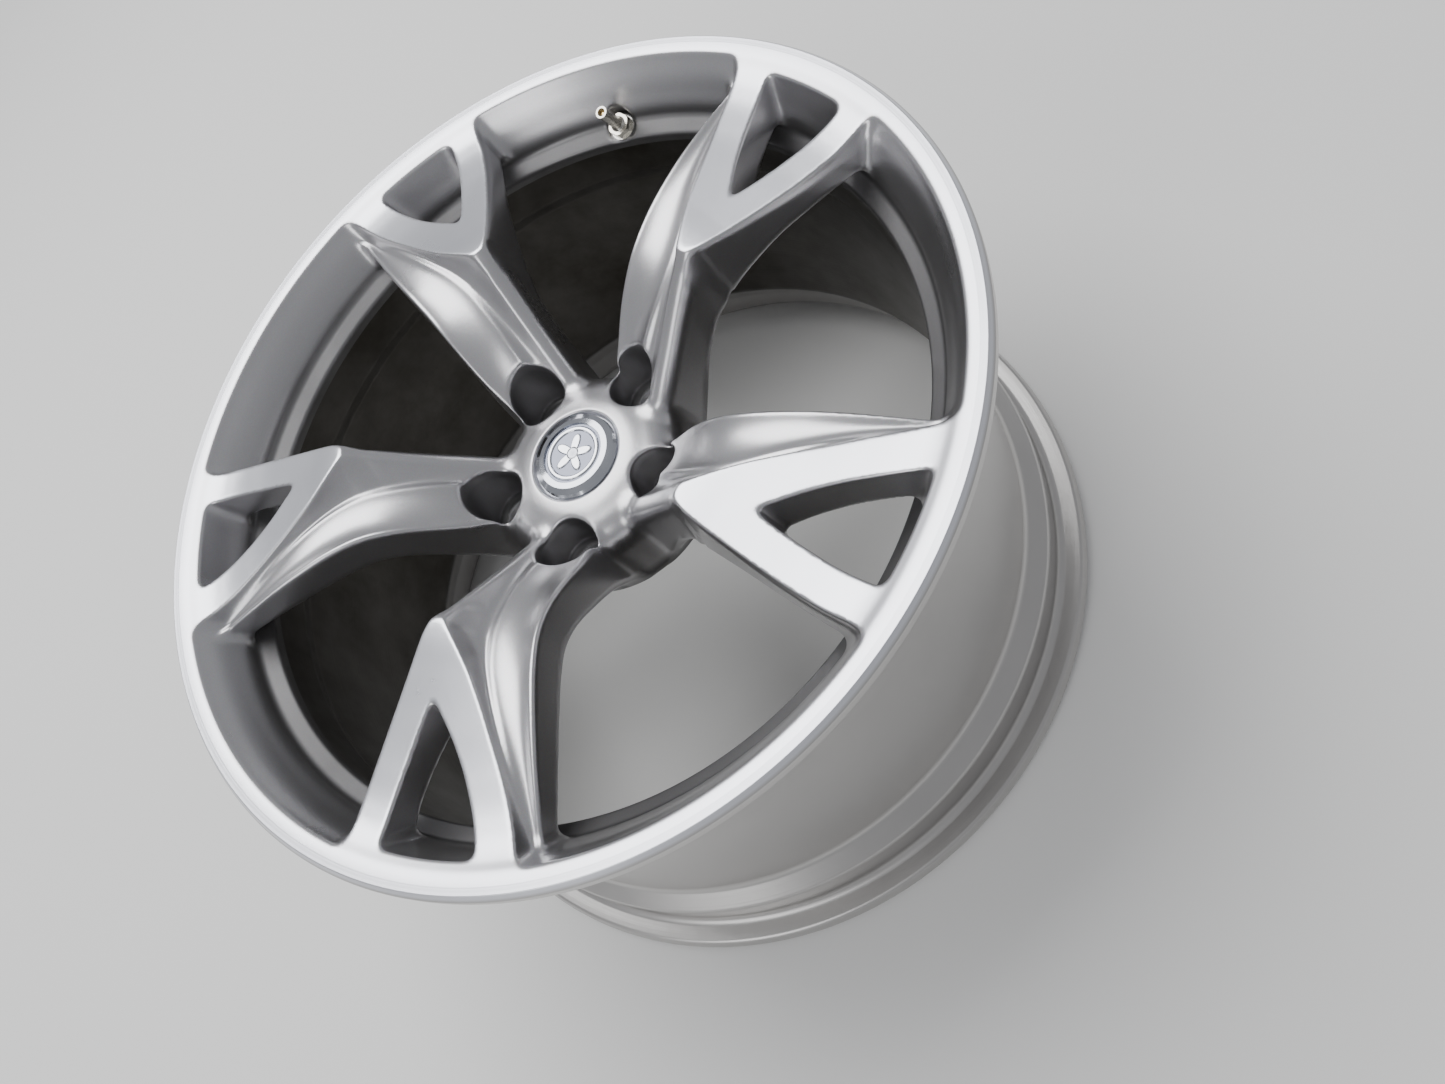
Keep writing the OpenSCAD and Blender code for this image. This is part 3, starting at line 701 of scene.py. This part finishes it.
# ---------------------------------------------------------------------------
# Valve stem: turned aluminium tube with a foot inside the rim, nickel plated,
# threaded for the dust cap and bored for the air core.
# ---------------------------------------------------------------------------
def threaded_plating():
    """Nickel plating with the fine turns of a screw thread, drawn by a wave along the stem's own axis."""
    mat = mottled("stem_nickel", (0.60, 0.58, 0.53), (0.74, 0.72, 0.67), (0.16, 0.32), 300.0,
                  Metallic=1.0)
    where = add(mat, "ShaderNodeTexCoord")
    turn = add(mat, "ShaderNodeMapping", Vector=(where, "Object"))
    turn.inputs["Rotation"].default_value = (0, VALVE_LEAN, -VALVE_ANGLE)
    wave = add(mat, "ShaderNodeTexWave", Vector=(turn, 0), bands_direction="Z", Scale=390.0)
    ridge = add(mat, "ShaderNodeBump", Height=(wave, 1), Strength=0.35, Distance=0.0003)
    feed(mat, "Normal", ridge, 0)
    return mat


dress("valve_stem", threaded_plating())


# ---------------------------------------------------------------------------
# Valve grommet: moulded black rubber sleeve with a flange, squeezed between
# the foot of the stem and the rim to seal the hole.
# ---------------------------------------------------------------------------
dress("valve_grommet",
      mottled("grommet_rubber", (0.018, 0.018, 0.018), (0.04, 0.038, 0.036), (0.55, 0.8), 240.0, 0.15))


# ---------------------------------------------------------------------------
# Valve washer: flat stamped ring of nickel-plated steel that lies on the
# metal of the rim under the nut.
# ---------------------------------------------------------------------------
dress("valve_washer",
      mottled("washer_nickel", (0.50, 0.49, 0.46), (0.66, 0.65, 0.61), (0.2, 0.36), 400.0, Metallic=1.0))


# ---------------------------------------------------------------------------
# Valve nut: six-sided nut of nickel-plated brass, chamfered at its outer
# face, tightened down the stem on to the washer.
# ---------------------------------------------------------------------------
dress("valve_nut",
      mottled("nut_nickel", (0.58, 0.56, 0.50), (0.74, 0.71, 0.64), (0.14, 0.28), 260.0, Metallic=1.0))


# ---------------------------------------------------------------------------
# Core body: turned brass plug screwed into the stem, which guides the pin and
# carries the air seal.
# ---------------------------------------------------------------------------
dress("core_body",
      mottled("core_brass", (0.52, 0.37, 0.15), (0.68, 0.50, 0.24), (0.2, 0.36), 500.0, Metallic=1.0))


# ---------------------------------------------------------------------------
# Core seal: small moulded ring of fluoro-rubber on the core body that closes
# the gap to the stem.
# ---------------------------------------------------------------------------
dress("core_seal",
      mottled("seal_rubber", (0.05, 0.012, 0.01), (0.10, 0.024, 0.018), (0.5, 0.7), 500.0, 0.1))


# ---------------------------------------------------------------------------
# Core pin: drawn brass wire with a headed tip, pressed in by the air chuck
# to open the valve.
# ---------------------------------------------------------------------------
dress("core_pin",
      mottled("pin_brass", (0.60, 0.44, 0.20), (0.76, 0.58, 0.30), (0.14, 0.26), 600.0, Metallic=1.0))


# ---------------------------------------------------------------------------
# Core cup: stamped brass cup with a rubber face on the foot of the pin, which
# closes against the core body.
# ---------------------------------------------------------------------------
dress("core_cup",
      mottled("cup_brass", (0.44, 0.32, 0.14), (0.60, 0.45, 0.22), (0.24, 0.4), 600.0, Metallic=1.0))


# ---------------------------------------------------------------------------
# Core spring: coil of stainless spring wire that holds the cup shut.
# ---------------------------------------------------------------------------
dress("core_spring",
      mottled("spring_steel", (0.42, 0.42, 0.43), (0.58, 0.58, 0.59), (0.18, 0.3), 700.0, Metallic=1.0))


# ---------------------------------------------------------------------------
# Sensor housing: glass-filled nylon box moulded to the curve of the well, open
# at the top, that hangs from the foot of the valve stem.
# ---------------------------------------------------------------------------
dress("tpms_housing",
      mottled("sensor_nylon", (0.022, 0.022, 0.024), (0.045, 0.045, 0.048), (0.42, 0.62), 180.0, 0.12))


# ---------------------------------------------------------------------------
# Sensor cover: layer of dark potting resin poured over the board, which sets
# flush with the edge of the housing.
# ---------------------------------------------------------------------------
dress("tpms_cover",
      mottled("potting_resin", (0.03, 0.026, 0.02), (0.06, 0.05, 0.04), (0.25, 0.42), 120.0, 0.05))


# ---------------------------------------------------------------------------
# Sensor board: fibreglass circuit board with a green solder mask, laid in the
# housing under the resin.
# ---------------------------------------------------------------------------
dress("tpms_board",
      mottled("board_mask", (0.012, 0.09, 0.04), (0.02, 0.14, 0.06), (0.3, 0.45), 350.0, 0.06))


# ---------------------------------------------------------------------------
# Sensor battery: lithium coin cell in a pressed stainless can, welded to the
# board by its tabs.
# ---------------------------------------------------------------------------
dress("tpms_battery",
      mottled("battery_can", (0.56, 0.56, 0.57), (0.70, 0.70, 0.71), (0.18, 0.34), 300.0, Metallic=1.0))


# ---------------------------------------------------------------------------
# Sensor screw: stainless cap screw through the housing into the foot of the
# valve stem.
# ---------------------------------------------------------------------------
dress("tpms_screw",
      mottled("screw_stainless", (0.46, 0.46, 0.46), (0.60, 0.60, 0.60), (0.2, 0.34), 420.0, Metallic=1.0))


# ---------------------------------------------------------------------------
# Stage: pale floor under the inboard flange, soft studio light, and a camera
# above the wheel on the side of its lowest spokes.
# ---------------------------------------------------------------------------
floor_mesh = bpy.data.meshes.new("floor")
floor_z = -0.1699
corners = [(-30, -30), (30, -30), (30, 30), (-30, 30)]
floor_mesh.from_pydata([corner + (floor_z,) for corner in corners], [], [(0, 1, 2, 3)])
floor = bpy.data.objects.new("floor", floor_mesh)
bpy.context.collection.objects.link(floor)
floor_mat = new_material("pale_floor", Roughness=0.8, Base_Color=(0.88, 0.88, 0.87, 1))
floor_mesh.materials.append(floor_mat)

world = bpy.data.worlds.new("studio")
bpy.context.scene.world = world
world.use_nodes = True
world.node_tree.nodes["Background"].inputs[0].default_value = (0.80, 0.81, 0.84, 1)
world.node_tree.nodes["Background"].inputs[1].default_value = 0.5


def soft_box(name, place, target, width, height, power):
    """Rectangular studio light at a place, turned to face a target."""
    data = bpy.data.lights.new(name, "AREA")
    data.shape = "RECTANGLE"
    data.size, data.size_y, data.energy = width, height, power
    lamp = bpy.data.objects.new(name, data)
    lamp.location = place
    lamp.rotation_euler = (Vector(target) - Vector(place)).to_track_quat("-Z", "Y").to_euler()
    bpy.context.collection.objects.link(lamp)


soft_box("key", (0.56, 0.88, 2.0), (0, 0, 0), 1.8, 1.8, 54)
soft_box("fill", (-2.1, 0.2, 1.5), (0, 0, 0), 1.0, 1.8, 16)

camera_data = bpy.data.cameras.new("camera")
camera_data.sensor_width = 36
camera_data.lens = 28.236
camera = bpy.data.objects.new("camera", camera_data)
camera.location = (-0.2220, -0.4004, 0.5529)
camera.rotation_euler = (0.42120, 0.43407, -1.30183)
bpy.context.collection.objects.link(camera)
bpy.context.scene.camera = camera
